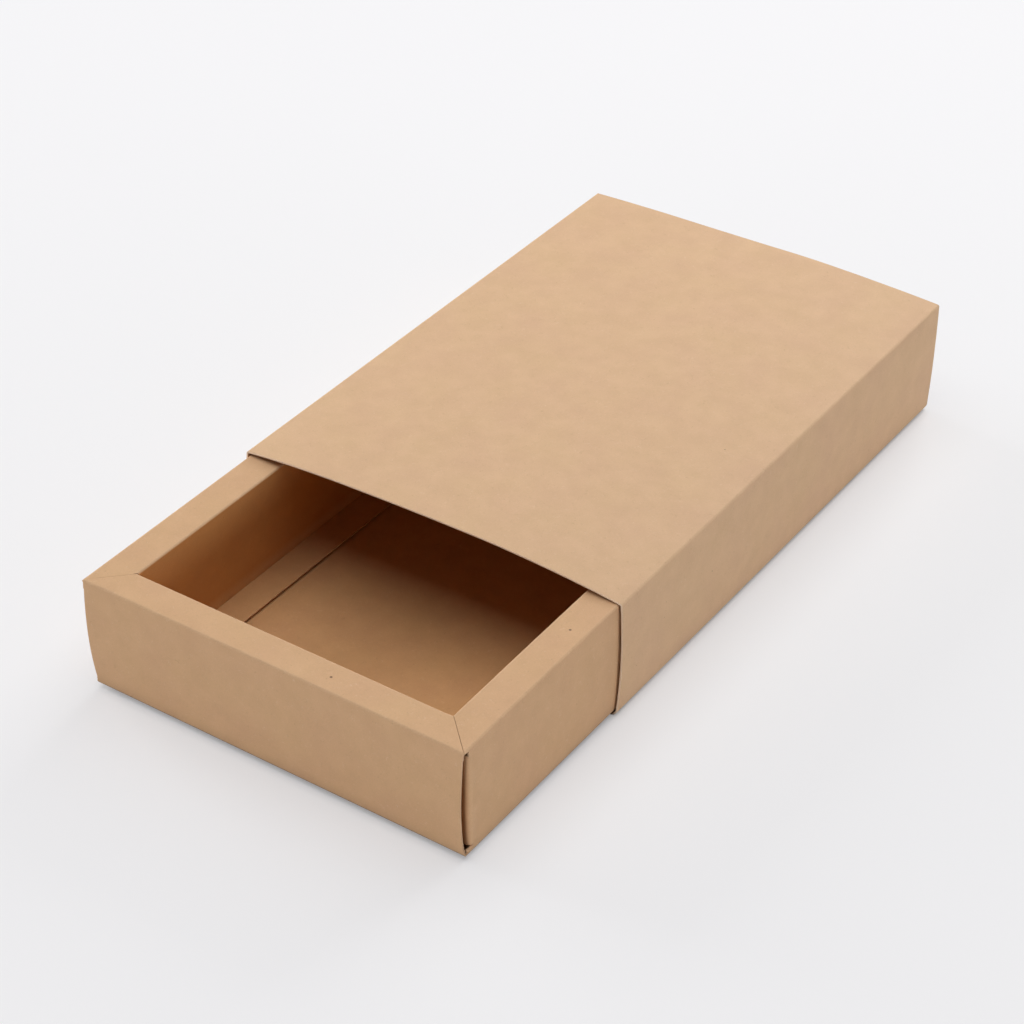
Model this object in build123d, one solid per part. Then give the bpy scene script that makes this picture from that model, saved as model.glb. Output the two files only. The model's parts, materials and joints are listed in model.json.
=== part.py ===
from build123d import *

import os
from math import sqrt

# Sliding drawer gift box: a card sleeve, open at both ends, round a card drawer with hollow walls.
# Each is folded from one flat die-cut sheet of kraft board.  A sub-part is the panel between two
# creases, and neighbouring panels meet face to face on the line that halves the fold.
# Millimetres.  +X is the box's right, -Y is the way that the drawer opens, and +Z is up.  The
# origin is the middle of the sleeve's underside.  The drawer stands part open, as it is shown.

# ------------------------------------------------------------------------------ driving sizes

card = 0.5  # thickness of the board

sleeve_length = 180.0
sleeve_width = 121.6  # outside, over the creases
sleeve_height = 37.5  # over the creases
top_dome_front = 3.0  # how far the top arches above its creases, at the sleeve's front mouth
top_dome_back = 1.3
side_belly_front = 0.95  # how far a side panel stands out at half its height
side_belly_back = 0.35
seam_flap_width = 14.0
seam_edge_setback = 1.5  # from the left side to the cut edge of the bottom panel
glue_width = 9.0
glue_thickness = 0.1
glue_end_margin = 5.0

# Inside radii of the folds.  The outside of a fold is one card larger.
top_fold = 0.4
bottom_fold = 1.3
rim_fold = 0.3

opening = 69.8  # how far the drawer stands out of the sleeve
end_recess = 0.5  # from each end of the sleeve to the shut drawer
side_play = 0.5  # between drawer and sleeve, on each side
top_play = 1.4  # between the drawer's rim and the height of the sleeve's top creases
bottom_play = 0.3  # between drawer and glued seam flap

rim_width = 10.2
outer_wall_lean = 0.6  # how far the foot of an outer wall stands in from its top
inner_wall_lean = 2.2  # how far the foot of an inner wall stands back from the rim's edge
floor_flap_width = 9.7
floor_flap_play = 0.1  # between a floor flap and the floor
hinge_gap = 0.1  # from the line that a floor flap turns about to the flap and to the wall
floor_flap_mitre_gap = 0.6
mitre_gap = 0.2  # between rims, and between inner walls, at the corners

corner_tab_length = 28.0
corner_tab_notch = 0.6  # from each end of a tab to the fold above or below it
corner_tab_play = 0.1  # between a tab and the wall in front of it
corner_fold = 0.4  # inside radius of the upright fold between a side wall and its tab
corner_slit = 0.7  # from the corner to the cut edge of the front or back wall

# ----------------------------------------------------------------------------- derived sizes

top_round = top_fold + card
bottom_round = bottom_fold + card
rim_round = rim_fold + card
corner_round = corner_fold + card

sleeve_left = -sleeve_width / 2
sleeve_right = sleeve_width / 2
fold_reach = 2 * bottom_round  # from a side of the sleeve to the level board past its fold
seam_flap_under = card + glue_thickness
drawer_under = seam_flap_under + card + bottom_play
drawer_top = sleeve_height - card - top_play
drawer_height = drawer_top - drawer_under
half_width = sleeve_width / 2 - card - side_play
half_length = sleeve_length / 2 - end_recess
inner_wall_foot = rim_width - inner_wall_lean
floor_flap_top = drawer_under + card + floor_flap_play + card

# ------------------------------------------------------------------------------- folded card


def board_side(start, end):
    """The direction from a strip's face into the board, which lies to the right of its line."""
    along = (end - start).normalized()
    return Vector(along.Y, -along.X)


def folded_strip(line, rounds):
    """A strip of folded card seen edge-on, with its face on the line and its folds rounded."""
    with BuildLine() as face_line:
        FilletPolyline(*line, radius=rounds)
    return make_face(offset(face_line.line, amount=card, side=Side.RIGHT))


def panel(line, rounds, first, last):
    """The part of a folded strip from one point of its line to another, cut through half a fold."""
    before = max(first - 1, 0)
    after = min(last + 1, len(line) - 1)
    strip = folded_strip(line[before : after + 1], rounds[before : after - 1])
    cut_reach = top_dome_front + bottom_round
    cuts = []
    for i in (first, last):
        stretches = [j for j in (i - 1, i) if 0 <= j < len(line) - 1]
        halving = sum((board_side(line[j], line[j + 1]) for j in stretches), Vector()).normalized()
        cuts.append((line[i] - halving * cut_reach, line[i] + halving * cut_reach))
    (face_first, board_first), (face_last, board_last) = cuts
    return strip & Polygon(face_first, board_first, board_last, face_last, align=None)


# ------------------------------------------------------------------------------------ sleeve


def bend(start, end, rise):
    """The point and radius that bend a panel outwards, so that its middle stands out by the rise."""
    span = (end - start).length
    tangent = span / 2 - 2 * bottom_round
    reach = rise / (1 - tangent / span)
    return (start + end) / 2 - board_side(start, end) * reach, tangent * span / 2 / reach


def sleeve_line(dome, belly):
    """The sleeve seen end-on, from just past one of its lower folds round to just past the other."""
    left_foot = Vector(sleeve_left, seam_flap_under)
    left_top = Vector(sleeve_left, sleeve_height)
    right_top = Vector(sleeve_right, sleeve_height)
    right_foot = Vector(sleeve_right, 0)
    left_bend, left_radius = bend(left_foot, left_top, belly)
    top_bend, top_radius = bend(left_top, right_top, dome)
    right_bend, right_radius = bend(right_top, right_foot, belly)
    line = [
        Vector(sleeve_left + fold_reach, seam_flap_under),
        left_foot,
        left_bend,
        left_top,
        top_bend,
        right_top,
        right_bend,
        right_foot,
        Vector(sleeve_right - fold_reach, 0),
    ]
    rounds = [
        bottom_round,
        left_radius,
        top_round,
        top_radius,
        top_round,
        right_radius,
        bottom_round,
    ]
    return line, rounds


def level_board(left_end, right_end, under):
    """The flat stretch of a panel that lies level, as long as the sleeve."""
    return Pos(left_end, 0, under) * Box(
        right_end - left_end,
        sleeve_length,
        card,
        align=(Align.MIN, Align.CENTER, Align.MIN),
    )


def sleeve_panels():
    """The five panels of the sleeve's one sheet, and the line of glue that closes it."""
    front_line = sleeve_line(top_dome_front, side_belly_front)
    back_line = sleeve_line(top_dome_back, side_belly_back)
    front_end = Plane.XZ.offset(sleeve_length / 2)
    back_end = Plane.XZ.offset(-sleeve_length / 2)
    stretches = {
        "sleeve_seam_flap": (0, 1),
        "sleeve_left_side": (1, 3),
        "sleeve_top": (3, 5),
        "sleeve_right_side": (5, 7),
        "sleeve_bottom": (7, 8),
    }
    parts = {}
    for name, ends in stretches.items():
        sections = [front_end * panel(*front_line, *ends), back_end * panel(*back_line, *ends)]
        parts[name] = loft(sections, ruled=True)
    flap_edge = sleeve_left + seam_flap_width
    parts["sleeve_seam_flap"] += level_board(sleeve_left + fold_reach, flap_edge, seam_flap_under)
    parts["sleeve_bottom"] += level_board(sleeve_left + seam_edge_setback, sleeve_right - fold_reach, 0)
    glued_middle = (sleeve_left + bottom_round + flap_edge) / 2
    parts["sleeve_glue_line"] = Pos(glued_middle, 0, card) * Box(
        glue_width,
        sleeve_length - 2 * glue_end_margin,
        glue_thickness,
        align=(Align.CENTER, Align.CENTER, Align.MIN),
    )
    return parts


# ------------------------------------------------------------------------------------ drawer

# Each side of the drawer: where the middle of its top edge is, which way is inwards, and half of
# its length.
drawer_sides = {
    "front": (Vector(0, -half_length), Vector(0, 1), half_width),
    "back": (Vector(0, half_length), Vector(0, -1), half_width),
    "left": (Vector(-half_width, 0), Vector(1, 0), half_length),
    "right": (Vector(half_width, 0), Vector(-1, 0), half_length),
}

# A wall seen end-on, by distance inwards from the top edge and by height: from the floor out to
# the foot of the outer wall, up, over the rim, and down the inner wall to the floor flap's crease.
wall_line = [
    Vector(rim_width, drawer_under),
    Vector(outer_wall_lean, drawer_under),
    Vector(0, drawer_top),
    Vector(rim_width, drawer_top),
    Vector(inner_wall_foot, floor_flap_top),
]
wall_rounds = [bottom_round, top_round, rim_round]


def along_side(side, face):
    """A face drawn end-on (inwards, up), drawn out along the whole of one side of the drawer."""
    middle, inwards, half = drawer_sides[side]
    end_on = Plane(origin=middle, x_dir=inwards, z_dir=inwards.cross(Vector(0, 0, 1)))
    return extrude(end_on * face, amount=half, both=True)


def mitre(side, gap):
    """The room that one side of the drawer has between the two 45 degree lines at its corners."""
    middle, inwards, half = drawer_sides[side]
    setback = gap / sqrt(2)
    depth = inner_wall_foot + floor_flap_width + rim_width
    plan = Polygon(
        (0, setback - half),
        (depth, depth + setback - half),
        (depth, half - depth - setback),
        (0, half - setback),
        align=None,
    )
    from_above = Plane(origin=middle, x_dir=inwards, z_dir=(0, 0, 1))
    return extrude(from_above * plan, amount=sleeve_height)


def wall_ends(side, setback):
    """The room between the leaning ends of an outer wall, each set back from its corner."""
    middle, inwards, half = drawer_sides[side]
    spare = outer_wall_lean + card
    lean_per_height = outer_wall_lean / drawer_height
    levels = []
    for height in (drawer_under - spare, drawer_top + spare):
        reach = half - setback - lean_per_height * (drawer_top - height)
        level = Plane(origin=middle + Vector(0, 0, height), x_dir=inwards, z_dir=(0, 0, 1))
        levels.append(level * Rectangle(4 * rim_width, 2 * reach))
    return loft(levels, ruled=True)


def drawer_floor():
    """The floor, turned up along its four edges into the lower half of each bottom fold."""
    edge = panel(wall_line, wall_rounds, 0, 1)
    floor = Pos(0, 0, drawer_under) * Box(
        2 * (half_width - rim_width),
        2 * (half_length - rim_width),
        card,
        align=(Align.CENTER, Align.CENTER, Align.MIN),
    )
    for side in drawer_sides:
        floor += along_side(side, edge) & mitre(side, 0)
    return floor


def outer_wall(side):
    """A side wall ends where its upright fold begins, and an end wall in a cut edge at the corner."""
    end_wall = side in ("front", "back")
    setback = corner_slit if end_wall else card + corner_tab_play + corner_round
    return along_side(side, panel(wall_line, wall_rounds, 1, 2)) & wall_ends(side, setback)


def floor_flap(side):
    """A flap that lies on the floor and turns up about the foot of the inner wall."""
    flat = Pos(inner_wall_foot + hinge_gap, floor_flap_top) * Rectangle(
        floor_flap_width - hinge_gap, card, align=(Align.MIN, Align.MAX)
    )
    return along_side(side, flat) & mitre(side, floor_flap_mitre_gap)


def corner_tab(across, along):
    """A side wall's upright fold and the tab past it, which stands behind the end wall.

    The tab is drawn in plan at its lower end and drawn upwards along the leaning corner.
    """
    low = drawer_under + bottom_round + corner_tab_notch
    high = drawer_top - top_round - corner_tab_notch
    lean_per_height = outer_wall_lean / drawer_height
    foot_lean = lean_per_height * (drawer_top - low)
    side_face = half_width - foot_lean
    tab_face = half_length - foot_lean - card - corner_tab_play
    with BuildLine() as face_line:
        flat = Line((side_face - corner_tab_length, tab_face), (side_face - corner_round, tab_face))
        TangentArc(flat @ 1, (side_face, tab_face - corner_round), tangent=flat % 1)
    plan = make_face(offset(face_line.line, amount=card, side=Side.RIGHT))
    upwards = Vector(lean_per_height, lean_per_height, 1)
    tab = extrude(Pos(0, 0, low) * plan, amount=(high - low) * upwards.length, dir=upwards)
    if across < 0:
        tab = mirror(tab, about=Plane.YZ)
    if along < 0:
        tab = mirror(tab, about=Plane.XZ)
    return tab


def drawer_panels():
    """Floor, four hollow walls of outer wall, rim and inner wall, floor flaps and corner tabs."""
    parts = {"drawer_floor": drawer_floor()}
    for side in drawer_sides:
        room = mitre(side, mitre_gap)
        parts[f"drawer_{side}_outer_wall"] = outer_wall(side)
        parts[f"drawer_{side}_rim"] = along_side(side, panel(wall_line, wall_rounds, 2, 3)) & room
        parts[f"drawer_{side}_inner_wall"] = along_side(side, panel(wall_line, wall_rounds, 3, 4)) & room
        parts[f"drawer_{side}_floor_flap"] = floor_flap(side)
    for end, along in (("front", -1), ("back", 1)):
        for side, across in (("left", -1), ("right", 1)):
            parts[f"drawer_{end}_{side}_corner_tab"] = corner_tab(across, along)
    return {name: Pos(0, -opening, 0) * part for name, part in parts.items()}


# ------------------------------------------------------------------------------------- files

os.makedirs("parts", exist_ok=True)
for name, part in (sleeve_panels() | drawer_panels()).items():
    export_step(part, f"parts/{name}.step")
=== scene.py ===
import json
from math import ceil, cos, hypot, radians, sin

import bmesh
import bpy
import numpy as np
from mathutils import Matrix, Vector


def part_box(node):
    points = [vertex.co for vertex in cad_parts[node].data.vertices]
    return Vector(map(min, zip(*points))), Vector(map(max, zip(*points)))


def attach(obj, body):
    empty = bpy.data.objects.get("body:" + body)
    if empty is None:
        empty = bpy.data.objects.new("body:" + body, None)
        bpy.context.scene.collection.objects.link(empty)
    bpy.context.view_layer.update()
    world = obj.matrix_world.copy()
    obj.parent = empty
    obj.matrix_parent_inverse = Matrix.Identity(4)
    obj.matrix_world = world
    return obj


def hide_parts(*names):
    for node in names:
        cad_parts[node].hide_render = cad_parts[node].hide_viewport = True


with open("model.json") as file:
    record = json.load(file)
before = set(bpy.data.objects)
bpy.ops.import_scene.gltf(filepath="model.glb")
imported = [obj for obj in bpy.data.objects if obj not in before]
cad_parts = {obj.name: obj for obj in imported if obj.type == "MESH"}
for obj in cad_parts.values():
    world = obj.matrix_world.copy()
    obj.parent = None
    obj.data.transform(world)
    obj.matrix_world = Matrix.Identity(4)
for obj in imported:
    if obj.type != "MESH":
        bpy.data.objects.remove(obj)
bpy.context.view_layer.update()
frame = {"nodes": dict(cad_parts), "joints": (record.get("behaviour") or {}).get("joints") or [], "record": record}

# A sliding drawer gift box of brown kraft board: a sleeve, open at both ends, round a drawer with
# hollow walls.  Each is one die-cut sheet, creased and folded.  Metres, in the frame's own axes:
# +X is the box's right, -Y is the way that the drawer opens, +Z is up.

mm = 0.001

# ---------------------------------------------------------------------------------- the sleeve
# One sheet of 0.5 mm kraft board, creased four times, wrapped round and glued along the lower left
# edge.  The board's spring arches its top and sides, most of all at the front mouth, which the
# drawer has worked open.

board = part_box("drawer_left_floor_flap")[1].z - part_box("drawer_left_floor_flap")[0].z
front_dome = 3.0 * mm  # how far the top arches above its creases
back_dome = 1.3 * mm
front_belly = 0.92 * mm  # how far the sides stand out at half their height
back_belly = 0.35 * mm
dome_power = 2.6  # a little flatter in the middle than a parabola
left_sag = 0.9 * mm  # how much lower the top sits on its left, over the side that the seam holds
right_sag = 0.4 * mm  # and on its right, at the front mouth
sag_reach = 25.0 * mm
top_fold = 0.56 * mm  # outside radii of the folds
bottom_fold = 2.2 * mm
seam_edge_setback = 1.5 * mm
panel_ripple = 0.12 * mm  # the faint unevenness of a big flat panel
ripple_scale = 38.0  # its swells in a metre
side_rippled = 0.97  # from how far out, as a share of half the width, the sides ripple instead
fold_steps = 5
fold_reach = 1.25  # how much of a corner its rounded fold takes, in fold radii
fold_margin = 0.3 * mm
board_step = 3.0 * mm  # how far apart the points of a flat stretch of board are
long_rows = 61  # rows of points along the box's length
edge_easing = 0.06 * mm  # how much the cut edges are eased
eased_angle, shaded_angle = radians(60), radians(35)  # edges over these are eased, and not smooth
hair = 0.01 * mm  # how far the looks keep inside the solids
side_room = 0.95 * mm  # how far inside them the sides' creases stand, so that the belly has room


class Wire:
    """A socket that can stand in a sum: each operator adds the Math node that works it out."""

    def __init__(self, plan, socket):
        self.plan = plan
        self.socket = socket

    def out(self, name):
        """Another output of the same node."""
        return Wire(self.plan, self.socket.node.outputs[name])

    def math(self, operation, *terms):
        return self.plan.node("ShaderNodeMath", {"operation": operation}, dict(enumerate(terms)))

    def __add__(self, other):
        return self.math("ADD", self, other)

    def __sub__(self, other):
        return self.math("SUBTRACT", self, other)

    def __mul__(self, other):
        return self.math("MULTIPLY", self, other)

    def __truediv__(self, other):
        return self.math("DIVIDE", self, other)

    def __pow__(self, other):
        return self.math("POWER", self, other)

    def __rsub__(self, other):
        return self.math("SUBTRACT", other, self)

    def __gt__(self, other):
        return self.math("GREATER_THAN", self, other)

    def __lt__(self, other):
        return self.math("LESS_THAN", self, other)

    def __abs__(self):
        return self.math("ABSOLUTE", self)

    def sign(self):
        return self.math("SIGN", self)

    def clamped(self):
        """The value, kept between 0 and 1."""
        return self.plan.node("ShaderNodeClamp", {}, {"Value": self})

    def hump(self):
        """1 where the value is a half, and 0 where it is 0 or 1."""
        return self * (1.0 - self) * 4.0

    __radd__ = __add__
    __rmul__ = __mul__


class Plan:
    """A node tree that is being drawn, for a shape or for a finish."""

    def __init__(self, tree):
        self.tree = tree

    def feed(self, node, values):
        """Sets or links a node's sockets, by their names or their numbers."""
        for key, value in values.items():
            if isinstance(value, Wire):
                self.tree.links.new(value.socket, node.inputs[key])
            else:
                node.inputs[key].default_value = value

    def node(self, kind, settings=None, values=None, output=0):
        """Adds a node, makes its settings and feeds it."""
        node = self.tree.nodes.new(kind)
        for name, setting in (settings or {}).items():
            setattr(node, name, setting)
        self.feed(node, values or {})
        return Wire(self, node.outputs[output]) if node.outputs else node


class Shape(Plan):
    """A Geometry Nodes tree with named inputs, which makes a shape out of a crease line."""

    def __init__(self, name, *labels, whole=("Rows",)):
        super().__init__(bpy.data.node_groups.new(name, "GeometryNodeTree"))
        face = self.tree.interface
        face.new_socket("Geometry", in_out="OUTPUT", socket_type="NodeSocketGeometry")
        face.new_socket("Geometry", in_out="INPUT", socket_type="NodeSocketGeometry")
        face.new_socket("Finish", in_out="INPUT", socket_type="NodeSocketMaterial")
        for label in labels:
            kind = "NodeSocketInt" if label in whole else "NodeSocketFloat"
            face.new_socket(label, in_out="INPUT", socket_type=kind)
        self.given = self.node("NodeGroupInput").out

    def named(self, attribute):
        return self.node("GeometryNodeInputNamedAttribute", {"data_type": "FLOAT"}, {"Name": attribute})

    def point(self, x, y, z):
        return self.node("ShaderNodeCombineXYZ", {}, {"X": x, "Y": y, "Z": z})

    def place(self):
        """The x, y and z of the points that are being worked on."""
        apart = self.node("ShaderNodeSeparateXYZ", {}, {"Vector": self.node("GeometryNodeInputPosition")})
        return apart.out("X"), apart.out("Y"), apart.out("Z")

    def moved(self, shape, x, y, z):
        return self.node("GeometryNodeSetPosition", {}, {"Geometry": shape, "Position": self.point(x, y, z)})

    def ripple(self, x, y, z):
        """A smooth random height from -1 to 1, a few centimetres from one swell to the next."""
        noise = self.node(
            "ShaderNodeTexNoise",
            {},
            {"Vector": self.point(x, y, z), "Scale": ripple_scale, "Detail": 1.0},
        )
        return (noise - 0.5) * 2.0

    def drawn_out(self, start, end, rows):
        """The crease line with its folds rounded, drawn out along Y into a face of the board."""
        line = self.node("GeometryNodeMeshToCurve", {}, {"Mesh": self.given("Geometry")})
        line = self.node(
            "GeometryNodeFilletCurve",
            {"mode": "POLY"},
            {"Curve": line, "Count": fold_steps, "Radius": self.named("fold")},
        )
        path = self.node(
            "GeometryNodeCurvePrimitiveLine",
            {},
            {"Start": self.point(0.0, start, 0.0), "End": self.point(0.0, end, 0.0)},
        )
        path = self.node("GeometryNodeResampleCurve", {}, {"Curve": path, "Count": rows})
        face = self.node("GeometryNodeCurveToMesh", {}, {"Curve": path, "Profile Curve": line})
        return self.marked(face, "crease", self.named("fold") > 0.0)

    def marked(self, shape, attribute, value):
        """Keeps a value at each point of a shape, for the finish to read."""
        return self.node(
            "GeometryNodeStoreNamedAttribute",
            {"data_type": "FLOAT", "domain": "POINT"},
            {"Geometry": shape, "Name": attribute, "Value": value},
        )

    def finished(self, shape):
        """Ends the tree: real faces, smooth, in the finish that the tree is given."""
        finish = self.given("Finish")
        shape = self.node("GeometryNodeRealizeInstances", {}, {"Geometry": shape})
        shape = self.node("GeometryNodeSetShadeSmooth", {}, {"Geometry": shape, "Shade Smooth": True})
        shape = self.node("GeometryNodeSetMaterial", {}, {"Geometry": shape, "Material": finish})
        self.node("NodeGroupOutput", {}, {"Geometry": shape})


def crease_line(name, corners):
    """A mesh of the board's face seen end-on: (across, up, fold radius, how short its ends are cut).

    The flat stretches between the corners get points of their own, clear of the rounded folds.
    Up is along -Y here, which Curve to Mesh turns to +Z.
    """
    points = []
    for start, end in zip(corners, corners[1:]):
        points.append(start)
        start, end = np.array(start), np.array(end)
        length = hypot(*(end - start)[:2])
        folds = (start[2], end[2])
        first, last = (fold_reach * radius + fold_margin if radius else 0.0 for radius in folds)
        steps = ceil((length - first - last) / board_step)
        for reach in np.linspace(first, length - last, max(steps, 0) + 1):
            if steps > 0 and 0 < reach < length:
                across, up, _, short = start + (end - start) * reach / length
                points.append((across, up, 0.0, short))
    points.append(corners[-1])
    mesh = bpy.data.meshes.new(name)
    edges = [(i, i + 1) for i in range(len(points) - 1)]
    mesh.from_pydata([(p[0], -p[1], 0.0) for p in points], edges, [])
    for column, label in ((2, "fold"), (3, "short")):
        values = mesh.attributes.new(label, "FLOAT", "POINT")
        values.data.foreach_set("value", [p[column] for p in points])
    return mesh


def kept(sheet):
    """Keeps what an object's modifiers make of it as its own plain mesh."""
    seen = sheet.evaluated_get(bpy.context.evaluated_depsgraph_get())
    sheet.data = bpy.data.meshes.new_from_object(seen)
    sheet.modifiers.clear()


def folded(name, start, shape, finishes, sizes):
    """A new object, made by a tree out of a crease line or of a sheet that is partly folded."""
    sheet = bpy.data.objects.new(name, start)
    bpy.context.scene.collection.objects.link(sheet)
    fold = sheet.modifiers.new("fold", "NODES")
    fold.node_group = shape.tree
    labels = {item.name: item.identifier for item in shape.tree.interface.items_tree}
    for label, value in (sizes | {"Finish": finishes[0]}).items():
        fold[labels[label]] = value
    kept(sheet)
    return sheet


def thicken(sheet, finishes):
    """Gives a face of board its thickness.  The second finish is that of its cut edges."""
    sheet.data.materials.clear()
    for finish in finishes:
        sheet.data.materials.append(finish)
    thickness = sheet.modifiers.new("thickness", "SOLIDIFY")
    thickness.thickness = board
    thickness.offset = -1.0
    thickness.use_even_offset = True
    thickness.material_offset_rim = 1
    eased = sheet.modifiers.new("eased edges", "BEVEL")
    eased.width = edge_easing
    eased.segments = 1
    eased.limit_method = "ANGLE"
    eased.angle_limit = eased_angle
    kept(sheet)
    sheet.data.set_sharp_from_angle(angle=shaded_angle)


def blank_finish(name):
    """A new material, the plan that its nodes go into, and its shader."""
    finish = bpy.data.materials.new(name)
    finish.use_nodes = True
    return finish, Plan(finish.node_tree), finish.node_tree.nodes["Principled BSDF"]


def kraft_finish(name, tone, foot, paleness=None, shaded_box=None, spots=()):
    """Unbleached kraft board: cloudy, with fine fibres and stray specks, and painted shade along its foot.

    Tone is what a sheet has of the red, green and blue.  A cut edge is layered, and so much paler.
    What lies in the box given as its corners gets painted shade, a deeper and redder brown,
    most of all on its walls.
    """
    finish, plan, shader = blank_finish(name)
    place = plan.node("ShaderNodeTexCoord").out("Object")
    axes = plan.node("ShaderNodeSeparateXYZ", {}, {"Vector": place})
    x, y, z = axes.out("X"), axes.out("Y"), axes.out("Z")

    def noise(scale, detail=2.0, roughness=0.5, distortion=0.0):
        values = {"Vector": place, "Scale": scale, "Detail": detail, "Roughness": roughness}
        return plan.node("ShaderNodeTexNoise", {}, values | {"Distortion": distortion})

    def mixed(amount, first, second, blend="MIX"):
        return plan.node(
            "ShaderNodeMix",
            {"data_type": "RGBA", "blend_type": blend, "clamp_factor": True},
            {0: amount, 6: first, 7: second},
            output=2,
        )

    def marks(attribute):
        """What the shape's tree has kept at its points under this name."""
        return plan.node("ShaderNodeAttribute", {"attribute_name": attribute}).out("Fac").clamped()

    def strands(scale, width, broken):
        """Thin winding lines, each broken into short lengths."""
        line = 1.0 - abs(noise(scale, detail=1.5, distortion=1.2) - 0.5) / width
        return line.clamped() * ((noise(broken, detail=1.0) - 0.52) * 9.0).clamped()

    cloud = noise(cloud_scale, detail=3.0)
    tint = noise(tint_scale, detail=1.0)
    grain = noise(grain_scale, detail=4.0, roughness=0.65)
    pale_fibres = strands(scale=620.0, width=0.018, broken=800.0)
    dark_fibres = strands(scale=540.0, width=0.014, broken=650.0)
    cells = plan.node("ShaderNodeTexVoronoi", {}, {"Vector": place, "Scale": speck_cells})
    chosen = plan.node("ShaderNodeSeparateColor", {}, {"Color": cells.out("Color")})
    specks = (chosen > speckless) * (speck_size * chosen.out("Green") - cells) * speck_edge
    worn = marks("crease") ** 3.0
    slit = marks("slit")
    # Painted shade: darker towards the foot, and darkest on the fold along it.
    above = z - foot
    foot_shade = (1.0 - above / foot_shade_height).clamped()
    dark = ((fold_shade_height - above) / fold_shade_blend).clamped()
    foot_shade = foot_shade * foot_shade * foot_shade_share + worn * dark * fold_shade_share

    colour = mixed(tint, kraft_pink, kraft_yellow)
    colour = mixed(((cloud - 0.38) * 3.0).clamped() * light_share, colour, kraft_light)
    shade = 1.0 + (cloud - 0.5) * cloud_shade + (grain - 0.5) * grain_shade
    shade = plan.node("ShaderNodeCombineColor", {}, {i: shade * tone[i] for i in range(3)})
    colour = mixed(1.0, colour, shade, "MULTIPLY")
    colour = mixed(pale_fibres * fibre_share, colour, kraft_fibre)
    colour = mixed(dark_fibres * bark_share, colour, kraft_bark)
    colour = mixed(specks.clamped() * speck_share, colour, kraft_speck)
    colour = mixed(worn * grain * worn_share, colour, kraft_fibre)
    # How high each part of the surface stands, next to the others.
    height = grain * 0.6 + cloud * 0.1 + pale_fibres * 0.5 - dark_fibres * 0.3
    height = height + worn * noise(worn_scale) * 0.8
    rough = board_rough + (grain - 0.5) * grain_rough + worn * torn_rough
    for spot in spots:
        gap = ((x - spot[0]) * (x - spot[0]) + (y - spot[1]) * (y - spot[1])) ** 0.5
        spread = (2.5 - gap / spot_radius * 2.0).clamped()
        colour = mixed(spread * (z > spot[2]) * spot_share, colour, kraft_speck)
    # Painted shade inside the drawer: a deeper, redder brown on its floor, deeper still on its walls.
    if shaded_box:
        low, high = shaded_box
        depth = z.math("MINIMUM", z - low.z, high.z - z)
        for value, least, most in ((x, low.x, high.x), (y, low.y, high.y)):
            depth = z.math("MINIMUM", depth, z.math("MINIMUM", value - least, most - value))
        inside = (depth / inside_blend).clamped()
        on_wall = ((z - low.z) / wall_start - 1.0).clamped()
        shaded_inside = mixed(1.0, colour, mixed(on_wall, inside_floor_shade, inside_wall_shade), "MULTIPLY")
        colour = mixed(inside, colour, shaded_inside)
        foot_shade = foot_shade * (1.0 - inside)
    # Painted shade: the tabs darker where they turn into a corner slit.
    colour = mixed(slit, colour, mixed(1.0, colour, slit_shade_colour, "MULTIPLY"))
    if paleness is not None:
        layers = noise(layer_scale, roughness=0.6, distortion=0.6)
        colour = mixed(paleness, colour, kraft_core)
        colour = mixed(((layers - 0.45) * 2.2).clamped() * layer_share, colour, kraft_bark)
        height = height + layers * 1.4
        rough = rough + torn_rough
    # The painted shade along the foot.
    colour = mixed(foot_shade, colour, kraft_painted_shade)
    bump = plan.node("ShaderNodeBump", {}, {"Strength": 0.55, "Distance": 0.06 * mm, "Height": height})
    plan.feed(shader, {"Base Color": colour, "Roughness": rough.clamped(), "Normal": bump})
    plan.feed(shader, {"Specular IOR Level": board_gloss})
    return finish


kraft_pink = (0.648, 0.403, 0.242, 1.0)
kraft_yellow = (0.640, 0.418, 0.226, 1.0)
kraft_light = (0.676, 0.438, 0.258, 1.0)
kraft_fibre = (0.800, 0.600, 0.410, 1.0)
kraft_bark = (0.360, 0.205, 0.105, 1.0)
kraft_speck = (0.090, 0.045, 0.022, 1.0)
kraft_core = (0.860, 0.690, 0.530, 1.0)
# the colour of the painted shade along the foot and on its fold
kraft_painted_shade = (0.120, 0.075, 0.045, 1.0)
slit_shade_colour = (0.62, 0.38, 0.20, 1.0)  # painted shade: what the tabs keep of their red, green and blue inside a corner slit
inside_floor_shade = (1.0, 0.90, 0.74, 1.0)  # painted shade inside the drawer, on its floor and on its walls: what they keep of the red, green and blue
inside_wall_shade = (0.90, 0.70, 0.43, 1.0)
wall_start = 3.0 * mm  # how far over the floor of that box the walls' painted shade takes over
inside_blend = 0.4 * mm  # how far into its box the painted shade has come to full strength
sleeve_tone = (1.015, 1.035, 1.07)
drawer_tone = (0.985, 0.95, 0.91)
cloud_scale, tint_scale, grain_scale = 150.0, 75.0, 2600.0  # swells in a metre
worn_scale, layer_scale = 1500.0, 5200.0
cloud_shade, grain_shade = 0.1, 0.2  # how much of the board's brightness they change
light_share, fibre_share, bark_share, speck_share = 0.45, 0.32, 0.30, 0.75
worn_share, layer_share, spot_share = 0.25, 0.3, 0.8
board_rough, grain_rough, torn_rough = 0.70, 0.18, 0.12
board_gloss = 0.32
speck_cells = 210.0  # cells in a metre, each with room for a speck
speckless = 0.9  # the share of them that has none
speck_size, speck_edge = 0.06, 60.0  # the largest speck, in cells, and how sharp its edge is
spot_radius = 0.35 * mm
foot_shade_share, foot_shade_height = 0.27, 5.5 * mm  # painted shade at the board's foot: how dark, and how far up
fold_shade_share, fold_shade_height, fold_shade_blend = 0.62, 1.1 * mm, 0.5 * mm  # and the painted shade on the fold along the foot
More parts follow.
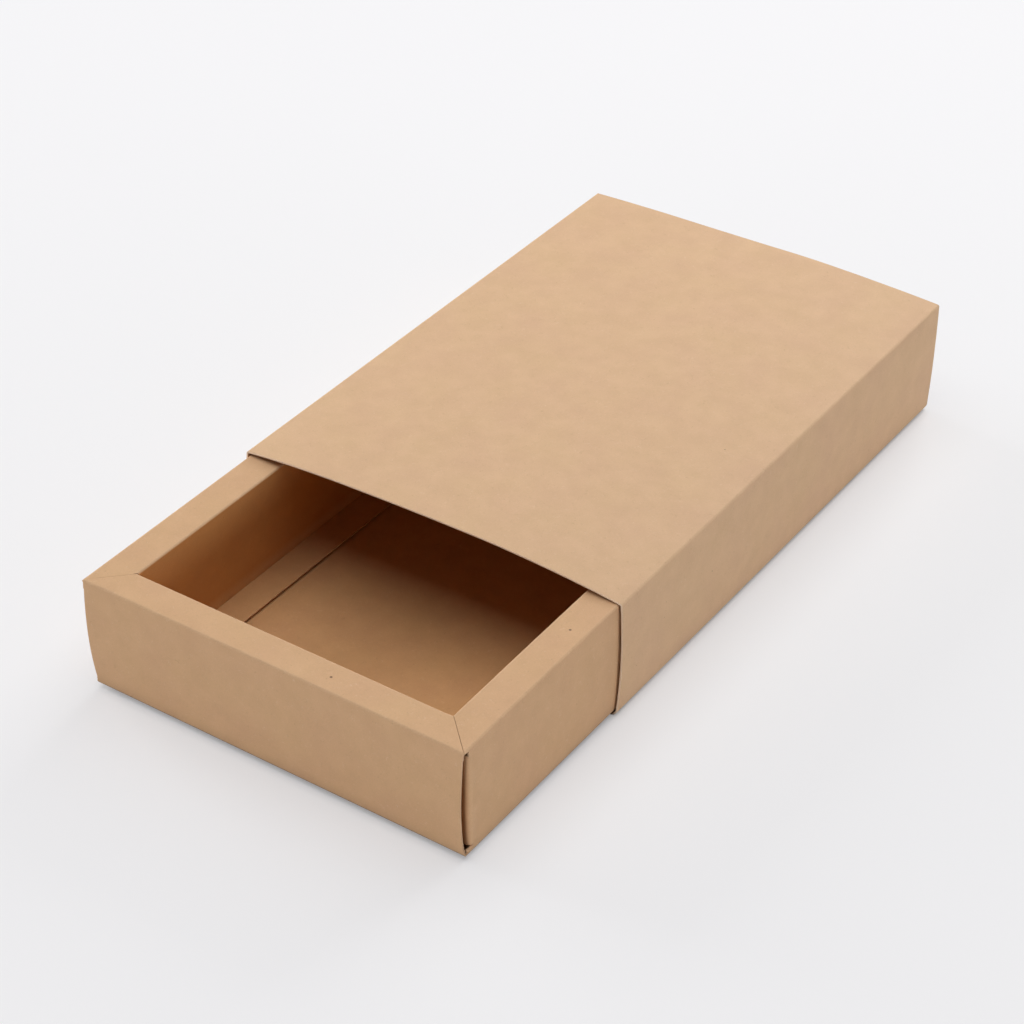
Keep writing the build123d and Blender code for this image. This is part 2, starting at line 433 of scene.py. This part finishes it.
sleeve_finishes = (
    kraft_finish("sleeve_board", sleeve_tone, foot=0.0),
    kraft_finish("sleeve_cut_edge", sleeve_tone, foot=0.0, paleness=0.85),
)

sleeve_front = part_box("sleeve_top")[0].y
sleeve_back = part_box("sleeve_top")[1].y - hair
sleeve_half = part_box("sleeve_right_side")[1].x - side_room
sleeve_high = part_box("sleeve_top")[1].z - front_dome - hair
seam_flap_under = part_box("sleeve_seam_flap")[0].z
seam_flap_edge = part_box("sleeve_seam_flap")[1].x

sleeve_sizes = {
    "Front": sleeve_front,
    "Back": sleeve_back,
    "Half width": sleeve_half,
    "Height": sleeve_high,
    "Front dome": front_dome,
    "Back dome": back_dome,
    "Front belly": front_belly,
    "Back belly": back_belly,
    "Left sag": left_sag,
    "Right sag": right_sag,
    "Sag reach": sag_reach,
    "Ripple": panel_ripple,
    "Rows": long_rows,
}
sleeve_shape = Shape("sleeve_fold", *sleeve_sizes)
given = sleeve_shape.given
sheet = sleeve_shape.drawn_out(given("Front"), given("Back"), given("Rows"))
x, y, z = sleeve_shape.place()
back_share = (y - given("Front")) / (given("Back") - given("Front"))
dome = given("Front dome") + (given("Back dome") - given("Front dome")) * back_share
belly = given("Front belly") + (given("Back belly") - given("Front belly")) * back_share
across = abs(x) / given("Half width")
up = z / given("Height")
arch = (1.0 - across.math("MINIMUM", across, 1.0) ** dome_power) * (up > 0.5)
bulge = up.hump().clamped() * x.sign()
left_share = (0.5 - x / given("Sag reach") * 0.5).clamped()
left_share = left_share * left_share * (3.0 - left_share * 2.0)
right_share = (1.0 - left_share) * (1.0 - back_share)
sag = (left_share * given("Left sag") + right_share * given("Right sag")) * up
# The ripple only takes height and width away, and dies out towards the creases.
ripple = abs(sleeve_shape.ripple(x, y, z) * given("Ripple"))
x_room = (up.hump() * 2.0).clamped() * (across > side_rippled)
z_room = arch.math("MINIMUM", arch * 1.4, 1.0)
sheet = sleeve_shape.moved(
    sheet,
    x + bulge * belly - ripple * x_room * x.sign() * 0.5,
    y,
    z + arch * dome - ripple * z_room - sag,
)
sleeve_shape.finished(sheet)

sleeve_creases = crease_line(
    "sleeve",
    [
        (seam_flap_edge, seam_flap_under, 0.0, 0.0),
        (-sleeve_half, seam_flap_under, bottom_fold, 0.0),
        (-sleeve_half, sleeve_high, top_fold, 0.0),
        (sleeve_half, sleeve_high, top_fold, 0.0),
        (sleeve_half, 0.0, bottom_fold, 0.0),
        (-sleeve_half + seam_edge_setback, 0.0, 0.0, 0.0),
    ],
)
sleeve = folded("sleeve", sleeve_creases, sleeve_shape, sleeve_finishes, sleeve_sizes)
thicken(sleeve, sleeve_finishes)
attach(sleeve, "sleeve")
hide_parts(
    "sleeve_seam_flap", "sleeve_left_side", "sleeve_top", "sleeve_right_side", "sleeve_bottom"
)

# ---------------------------------------------------------------------------------- the glue
# A thin dried film of white glue between the seam flap and the bottom panel, laid by a roller.  It
# shows only as a line in the sleeve's ends, set back from the cut edges.

glue_pale = (0.86, 0.78, 0.60, 1.0)
glue_amber = (0.70, 0.58, 0.40, 1.0)
glue_smooth, glue_uneven = 0.35, 0.3  # its least roughness, and how much rougher it gets

glue_finish, plan, shader = blank_finish("dried_glue")
place = plan.node("ShaderNodeTexCoord").out("Object")
film = plan.node("ShaderNodeTexNoise", {}, {"Vector": place, "Scale": 900.0, "Detail": 3.0})
colour = plan.node("ShaderNodeMix", {"data_type": "RGBA"}, {0: film, 6: glue_pale, 7: glue_amber}, output=2)
rough = glue_smooth + film * glue_uneven
bump = plan.node("ShaderNodeBump", {}, {"Strength": 0.4, "Distance": 0.05 * mm, "Height": film})
plan.feed(shader, {"Base Color": colour, "Roughness": rough, "Normal": bump})
glue_line = frame["nodes"]["sleeve_glue_line"]
glue_line.data.materials.clear()
glue_line.data.materials.append(glue_finish)

# --------------------------------------------------------------------------------- the drawer
# One sheet of the same board, folded up without glue.  From the floor each side goes up the outer
# wall, over the rim and down the inner wall, and the rims meet in mitres.  The side walls turn
# round upright folds into tabs, which stand behind the front and back walls.

rim_width = 10.2 * mm
rim_fold = 0.56 * mm
foot_fold = 1.1 * mm
corner_fold = 1.7 * mm
tab_depth = 2.1 * mm  # from the face of an end wall to the face of the tabs behind it
tab_length = 28.0 * mm
seam_length = 0.62 * mm  # how far down a corner the walls still meet, above the die's relief hole
upper_side_hole = 2.1 * mm  # how far the relief holes at each end of a tab reach into a side wall
lower_side_hole = 0.8 * mm
end_hole = 0.3 * mm  # and into an end wall
upper_hole_height = 2.2 * mm
lower_hole_height = 1.2 * mm
hole_corner = 0.1 * mm
end_wall_setback = 0.5 * mm
end_wall_hollow = 0.9 * mm  # how much further in one edge of an end wall springs at half its height
hollow_at_foot, hollow_fall = 1.3, 0.6  # how strong that is low down, and what it loses up to the rim
side_wall_setback = tab_depth + corner_fold
slit_reach = 2.2 * mm  # how far in from a side wall its tab has come into full shade
slit_power = 1.4
mitre_gap = {"left": 0.03 * mm, "front": 0.05 * mm, "right": 0.12 * mm, "back": 0.05 * mm}
mitre_notch = 0.35 * mm  # at the inner ends of the left rim's mitres, where the die nicked it
mitre_notch_reach = 1.2 * mm  # and how far along the mitre the nick reaches
edge_lift = 0.35 * mm  # how far the cut edges of the end walls spring out, below half their height
edge_lift_reach = 14.0 * mm
lift_peak = 1.7  # brings the highest of the lift's curve to 1
foot_drop = 0.25 * mm  # how much lower than the solids' floor panel the drawer's foot is
right_rise = 1.0 * mm  # how much the right rim bows up in the middle
right_swell = 0.35 * mm  # and the right wall out, between its corners
drawer_ripple = 0.10 * mm
# How far the foot of each outer wall stands in from its top, and how much the wall bows out.
front_lean, front_bow = 1.0 * mm, 0.15 * mm
back_lean, back_bow = 0.6 * mm, 0.1 * mm
left_lean, left_bow = 1.45 * mm, 1.0 * mm
right_lean, right_bow = -0.15 * mm, 0.25 * mm
lean_start, lean_end = 7.5 * mm, 2.0 * mm  # in from an outer wall, where the lean starts and is full
outer_wall_reach = 0.5 * mm  # in from a wall's face, what still counts as its outer board
rim_level = 0.999  # and how far up, as a share of the drawer's height, what counts as rim
same_point = 0.02 * mm  # points of one sheet that are closer than this are one
side_turns = {"left": 0, "front": 90, "right": 180, "back": 270}
wall_rows = {"end": 41, "side": long_rows}  # rows of points along a wall of each kind

drawer_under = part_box("drawer_floor")[0].z - foot_drop
drawer_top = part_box("drawer_front_rim")[1].z
drawer_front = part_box("drawer_front_outer_wall")[0].y
drawer_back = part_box("drawer_back_outer_wall")[1].y
drawer_middle = (drawer_front + drawer_back) / 2
half_length = (drawer_back - drawer_front) / 2
half_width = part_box("drawer_right_outer_wall")[1].x
hinges = {joint["name"]: Vector(joint["pos_m"]) for joint in frame["joints"] if joint["type"] == "hinge"}
flap_crease = hinges["left_flap_crease"].x + half_width
flap_top = hinges["left_flap_crease"].z
tab_low = drawer_under + foot_fold + hole_corner + lower_hole_height
tab_high = drawer_top - seam_length - hole_corner - upper_hole_height


def wall_corners(setback, lower_hole, upper_hole, gap, notch):
    """A wall seen end-on: in from the outer face, up, fold radius, how short its ends are cut."""
    seam_end = drawer_top - seam_length
    foot_end = drawer_under + foot_fold + hole_corner
    return [
        (rim_width, drawer_under, 0.0, 0.0),
        (0.0, drawer_under, foot_fold, 0.0),
        (0.0, foot_end, 0.0, 0.0),
        (0.0, foot_end + hole_corner, 0.0, lower_hole),
        (0.0, tab_low - hole_corner, 0.0, lower_hole),
        (0.0, tab_low, 0.0, setback),
        (0.0, tab_high, 0.0, setback),
        (0.0, tab_high + hole_corner, 0.0, upper_hole),
        (0.0, seam_end - hole_corner, 0.0, upper_hole),
        (0.0, seam_end, 0.0, gap),
        (0.0, drawer_top, top_fold, gap),
        (rim_width - mitre_notch_reach, drawer_top, 0.0, gap),
        (rim_width, drawer_top, rim_fold, gap + notch),
        (flap_crease, flap_top, 0.0, gap),
    ]


def sheet_joined(name, pieces):
    """Joins faces of one sheet where their points meet, and removes the pieces."""
    whole = bmesh.new()
    for piece in pieces:
        whole.from_mesh(piece.data)
        bpy.data.objects.remove(piece)
    bmesh.ops.remove_doubles(whole, verts=whole.verts, dist=same_point)
    mesh = bpy.data.meshes.new(name)
    whole.to_mesh(mesh)
    whole.free()
    return mesh


def turned(shape, sheet):
    """Turns the board of one side, which is drawn at the left, to its own side of the drawer."""
    middle = shape.point(0.0, shape.given("Middle"), 0.0)
    turn = shape.point(0.0, 0.0, shape.given("Turn"))
    values = {"Geometry": sheet, "Translation": middle, "Rotation": turn}
    return shape.node("GeometryNodeTransform", {}, values)


def side_sizes(name):
    """What the tree of a wall and that of a floor flap are both given on this side."""
    kind = "end" if name in ("front", "back") else "side"
    across, out = (half_width, half_length) if kind == "end" else (half_length, half_width)
    return {
        "Half length": across,
        "Distance": out,
        "Middle": drawer_middle,
        "Turn": radians(side_turns[name]),
        "Rows": wall_rows[kind],
    }


wall_shape = Shape(
    "drawer_wall", "Half length", "Distance", "Middle", "Turn", "Edge lift", "Lift reach", "Edge hollow",
    "Top", "Under", "Rows",
)
given = wall_shape.given
sheet = wall_shape.drawn_out(0.0 - given("Half length"), given("Half length"), given("Rows"))
inset, along, up = wall_shape.place()
height = ((up - given("Under")) / (given("Top") - given("Under"))).clamped()
outer = (inset < outer_wall_reach) * height.hump()
hollow = given("Edge hollow") * outer * (hollow_at_foot - height * hollow_fall) * (along < 0.0)
short = inset + wall_shape.named("short") + hollow
along = along * (1.0 - short / given("Half length"))
near_end = ((abs(along) - given("Half length") + given("Lift reach")) / given("Lift reach")).clamped()
lift = given("Edge lift") * outer * (1.0 - height) * lift_peak * near_end * near_end
sheet = wall_shape.moved(sheet, inset - lift - given("Distance"), along, up)
wall_shape.finished(turned(wall_shape, sheet))

tab_shape = Shape(
    "corner_tab", "Low", "High", "Half width", "Half length", "Middle", "Right", "Backwards", "Rows"
)
given = tab_shape.given
sheet = tab_shape.drawn_out(given("Low"), given("High"), given("Rows"))
from_side, up, from_end = tab_shape.place()
# Marks where the tab gets painted shade, growing towards the slit.
sheet = tab_shape.marked(sheet, "slit", (from_side / slit_reach).clamped() ** slit_power)
sheet = tab_shape.moved(
    sheet,
    (given("Half width") - from_side) * given("Right"),
    given("Middle") + (given("Half length") - from_end) * given("Backwards"),
    up,
)
tab_shape.finished(sheet)

# The box inside the drawer that gets painted shade.
drawer_inside = (
    Vector((-half_width + flap_crease - board, drawer_front + flap_crease - board, drawer_under)),
    Vector((half_width - flap_crease + board, drawer_back - flap_crease + board, drawer_top - rim_fold / 2)),
)
rim_specks = ((16.6 * mm, -154.3 * mm, drawer_top - board), (55.1 * mm, -105.5 * mm, drawer_top - board))
drawer_finishes = (
    kraft_finish("drawer_board", drawer_tone, drawer_under, shaded_box=drawer_inside, spots=rim_specks),
    # Its cut edges are kept little paler than its faces: painted shade, for the end walls' edges in the corner
    # slits.
    kraft_finish("drawer_cut_edge", drawer_tone, drawer_under, paleness=0.15, shaded_box=drawer_inside),
)
drawer_pieces = []  # the tabs first, since the joined mesh keeps only what its first piece is marked with
tab_corners = [
    (0.0, side_wall_setback, 0.0, 0.0),
    (0.0, tab_depth, corner_fold, 0.0),
    (tab_length, tab_depth, 0.0, 0.0),
]
for right in (-1, 1):
    for backwards in (-1, 1):
        corners = tab_corners[:: right * backwards]  # the mirrored tabs' line runs the other way
        sizes = {
            "Low": tab_low,
            "High": tab_high,
            "Half width": half_width,
            "Half length": half_length,
            "Middle": drawer_middle,
            "Right": float(right),
            "Backwards": float(backwards),
            "Rows": ceil((tab_high - tab_low) / board_step) + 1,
        }
        line = crease_line("tab", corners)
        drawer_pieces.append(folded("tab", line, tab_shape, drawer_finishes, sizes))

end_cuts = (end_wall_setback, end_hole, end_hole)
side_cuts = (side_wall_setback, lower_side_hole, upper_side_hole)
for name in side_turns:
    at_end = name in ("front", "back")
    sizes = side_sizes(name) | {
        "Edge lift": edge_lift if at_end else 0.0,
        "Lift reach": edge_lift_reach,
        "Edge hollow": end_wall_hollow if at_end else 0.0,
        "Top": drawer_top,
        "Under": drawer_under,
    }
    cuts = end_cuts if at_end else side_cuts
    corners = wall_corners(*cuts, mitre_gap[name], mitre_notch if name == "left" else 0.0)
    line = crease_line(name, corners)
    drawer_pieces.append(folded(name, line, wall_shape, drawer_finishes, sizes))

drawer_sizes = {
    "Half width": half_width,
    "Half length": half_length,
    "Middle": drawer_middle,
    "Under": drawer_under,
    "Top": drawer_top,
    "Rim": rim_width,
    "Front lean": front_lean,
    "Front bow": front_bow,
    "Back lean": back_lean,
    "Back bow": back_bow,
    "Left lean": left_lean,
    "Left bow": left_bow,
    "Right lean": right_lean,
    "Right bow": right_bow,
    "Right rise": right_rise,
    "Right swell": right_swell,
    "Ripple": drawer_ripple,
    "Columns": wall_rows["end"],
    "Rows": wall_rows["side"],
}
drawer_shape = Shape("drawer_set", *drawer_sizes, whole=("Rows", "Columns"))
given = drawer_shape.given
floor_face = drawer_shape.node(
    "GeometryNodeMeshGrid",
    {},
    {
        "Size X": (given("Half width") - given("Rim")) * 2.0,
        "Size Y": (given("Half length") - given("Rim")) * 2.0,
        "Vertices X": given("Columns"),
        "Vertices Y": given("Rows"),
    },
)
floor_face = drawer_shape.node("GeometryNodeFlipFaces", {}, {"Mesh": floor_face})
floor_face = drawer_shape.node(
    "GeometryNodeTransform",
    {},
    {"Geometry": floor_face, "Translation": drawer_shape.point(0.0, given("Middle"), given("Under"))},
)
joined = drawer_shape.node("GeometryNodeJoinGeometry", {}, {"Geometry": floor_face})
drawer_shape.feed(joined.socket.node, {"Geometry": given("Geometry")})  # the socket takes both
sheet = drawer_shape.node("GeometryNodeMergeByDistance", {}, {"Geometry": joined, "Distance": same_point})
x, y, z = drawer_shape.place()
along = y - given("Middle")
height = ((z - given("Under")) / (given("Top") - given("Under"))).clamped()
down = 1.0 - height


def inwards(beyond, distance, first, second):
    """How far a wall stands in here, towards the middle of the drawer."""
    weight = ((abs(distance) - given(beyond) + lean_start) / (lean_start - lean_end)).clamped()
    other = distance > 0.0
    lean = given(first + " lean") * (1.0 - other) + given(second + " lean") * other
    bow = given(first + " bow") * (1.0 - other) + given(second + " bow") * other
    return weight * down * (lean - bow * height * 4.0) * distance.sign()


ripple = abs(drawer_shape.ripple(x, y, z)) * given("Ripple")
flat = height.hump()
mid = along / given("Half length")
on_right_rim = x > given("Half width") - rim_width - rim_fold
on_right_wall = x > given("Half width") - board
rise = given("Right rise") * (1.0 - mid * mid) * height * on_right_rim
swell = given("Right swell") * (1.0 - mid * mid) * flat * on_right_wall
sheet = drawer_shape.moved(
    sheet,
    x + swell - inwards("Half width", x, "Left", "Right") - x.sign() * ripple * flat,
    y - inwards("Half length", along, "Front", "Back") - along.sign() * ripple * flat,
    z + rise - ripple * (height > rim_level) * 0.5,
)
drawer_shape.finished(sheet)

drawer_face = sheet_joined("drawer_face", drawer_pieces)
drawer = folded("drawer", drawer_face, drawer_shape, drawer_finishes, drawer_sizes)
thicken(drawer, drawer_finishes)
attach(drawer, "drawer")
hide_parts(*frame["record"]["behaviour"]["bodies"]["drawer"])

# --------------------------------------------------------------------------- the floor flaps
# The last panel of each side of the drawer's sheet.  It is creased at the foot of the inner wall
# and lies loose on the floor, and its cut edge curls up a little.

flap_width = 9.7 * mm
flap_mitre_gap = 0.42 * mm
flap_curl = {"left": 0.45 * mm, "front": 0.2 * mm, "right": 0.3 * mm, "back": 0.2 * mm}
curl_share, curl_spread = 0.75, 0.9  # how much of its curl a flap's edge has, give or take
curl_stretch = 0.4  # of the usual number of swells along the flap

flap_shape = Shape(
    "floor_flap", "Half length", "Distance", "Middle", "Turn", "Crease", "Width", "Curl", "Rows"
)
given = flap_shape.given
sheet = flap_shape.drawn_out(0.0 - given("Half length"), given("Half length"), given("Rows"))
inset, along, up = flap_shape.place()
along = along * (1.0 - (inset + flap_shape.named("short")) / given("Half length"))
reach = (inset - given("Crease")) / given("Width")
ripple = flap_shape.ripple(inset, along * curl_stretch, given("Turn"))
curl = reach * reach * given("Curl") * (curl_share + ripple * curl_spread)
sheet = flap_shape.moved(sheet, inset - given("Distance"), along, up + abs(curl))
flap_shape.finished(turned(flap_shape, sheet))

flap_corners = [
    (flap_crease, flap_top, 0.0, flap_mitre_gap),
    (flap_crease + flap_width, flap_top, 0.0, flap_mitre_gap),
]
for name in side_turns:
    sizes = side_sizes(name) | {"Crease": flap_crease, "Width": flap_width, "Curl": flap_curl[name]}
    label = f"{name}_floor_flap"
    flap = folded(label, crease_line(label, flap_corners), flap_shape, drawer_finishes, sizes)
    thicken(flap, drawer_finishes)
    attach(flap, label)
    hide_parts(f"drawer_{label}")

# ---------------------------------------------------------------------------------- the studio
# A white paper floor, a softbox overhead, two behind, one at the left, and two low white cards that
# fill the front and the right.  The paper is bright to the camera: it keeps half of the shadow,
# more of it where something stands close over it, and none far away, where it runs up as a backdrop.

paper_white = (0.86, 0.86, 0.865, 1.0)
backdrop_white = (0.912, 0.905, 0.925, 1.0)
backdrop_share = 0.5  # how much of the paper's look is its own brightness, next to the box
backdrop_start, backdrop_reach = 0.12, 0.5  # from where, and over how far, that grows to all of it
contact_reach = 3.0 * mm
contact_shade = 0.65  # how much of the brightness goes where nothing of the sky is clear
room_fill = 0.02
paper_reach = 4.0
lamp_centre = Vector((0.0, -0.05, 0.02))
lamp_distance = 1.5
# name: azimuth from the front and elevation in degrees, width and height in metres, watts
lamps = {
    "overhead_softbox": (0, 90, 1.6, 1.6, 13.8),
    "back_window": (180, 18, 0.9, 0.9, 12.0),
    "back_softbox": (180, 45, 0.9, 0.9, 5.0),
    "left_softbox": (270, 18, 0.9, 0.9, 12.0),
    "front_card": (0, 4.5, 0.6, 0.2, 5.3),
    "right_card": (90, 4.5, 0.6, 0.2, 4.5),
}


def way_to(azimuth, elevation):
    """The way from the box to what stands at this azimuth from the front and this elevation."""
    return Vector((sin(azimuth) * cos(elevation), -cos(azimuth) * cos(elevation), sin(elevation)))


def seen(plan):
    """1 for what the camera sees, also in a reflection or through glass, and 0 for plain light."""
    ray = plan.node("ShaderNodeLightPath")
    rays = [ray.out(f"Is {kind} Ray") for kind in ("Camera", "Glossy", "Transmission")]
    return (rays[0] + rays[1] + rays[2]).clamped()


def paper_finish():
    """White paper with a share of brightness of its own, for the camera's eye only."""
    finish, plan, shader = blank_finish("white_paper")
    plan.feed(shader, {"Base Color": paper_white, "Roughness": 0.9})
    bright = plan.node("ShaderNodeEmission", {}, {"Color": backdrop_white})
    clear = plan.node("ShaderNodeAmbientOcclusion", {"samples": 8}, {"Distance": contact_reach}, "AO")
    near_share = backdrop_share * (1.0 - (1.0 - clear) * contact_shade)
    place = plan.node("ShaderNodeTexCoord").out("Object")
    away = plan.node("ShaderNodeVectorMath", {"operation": "LENGTH"}, {0: place}, "Value")
    far = ((away - backdrop_start) / backdrop_reach).clamped()
    share = seen(plan) * (near_share + (1.0 - near_share) * far)
    paper = Wire(plan, shader.outputs["BSDF"])
    both = plan.node("ShaderNodeMixShader", {}, {0: share, 1: paper, 2: bright})
    plan.feed(finish.node_tree.nodes["Material Output"], {"Surface": both})
    return finish


def room_light():
    """A white room to the camera, and next to no light on the box."""
    room = bpy.data.worlds.new("room")
    room.use_nodes = True
    plan = Plan(room.node_tree)
    to_eye = seen(plan)
    strength = to_eye + (1.0 - to_eye) * room_fill
    plan.feed(room.node_tree.nodes["Background"], {"Color": backdrop_white, "Strength": strength})
    return room


floor = bpy.data.objects.new("floor", bpy.data.meshes.new("floor"))
corners = [(x * paper_reach, y * paper_reach, 0.0) for x, y in ((-1, -1), (1, -1), (1, 1), (-1, 1))]
floor.data.from_pydata(corners, [], [(0, 1, 2, 3)])
bpy.context.scene.collection.objects.link(floor)
floor.data.materials.append(paper_finish())
bpy.context.scene.world = room_light()

for name, (azimuth, elevation, width, height, watts) in lamps.items():
    way = way_to(radians(azimuth), radians(elevation))
    lamp = bpy.data.objects.new(name, bpy.data.lights.new(name, "AREA"))
    lamp.data.shape = "RECTANGLE"
    lamp.data.size = width
    lamp.data.size_y = height
    lamp.data.energy = watts
    lamp.location = lamp_centre + way * lamp_distance
    lamp.rotation_euler = (-way).to_track_quat("-Z", "Y").to_euler()
    bpy.context.scene.collection.objects.link(lamp)

# The camera stands over the drawer's front right corner.  Its place and lens were found from the
# box's corners in the photograph.
camera = bpy.data.objects.new("camera", bpy.data.cameras.new("camera"))
camera.data.sensor_width = 36.0
camera.data.lens = 94.899
camera.data.clip_start = 0.05
camera.location = (335.255 * mm, -562.837 * mm, 455.622 * mm)
back = way_to(radians(33.125), radians(35.549))
roll = radians(1.246)
right = Vector((0, 0, 1)).cross(back).normalized()
above = back.cross(right)
turned_right = right * cos(roll) + above * sin(roll)
turned_above = above * cos(roll) - right * sin(roll)
camera.rotation_euler = Matrix((turned_right, turned_above, back)).transposed().to_euler()
bpy.context.scene.collection.objects.link(camera)
bpy.context.scene.camera = camera
bpy.context.scene.view_settings.view_transform = "Standard"
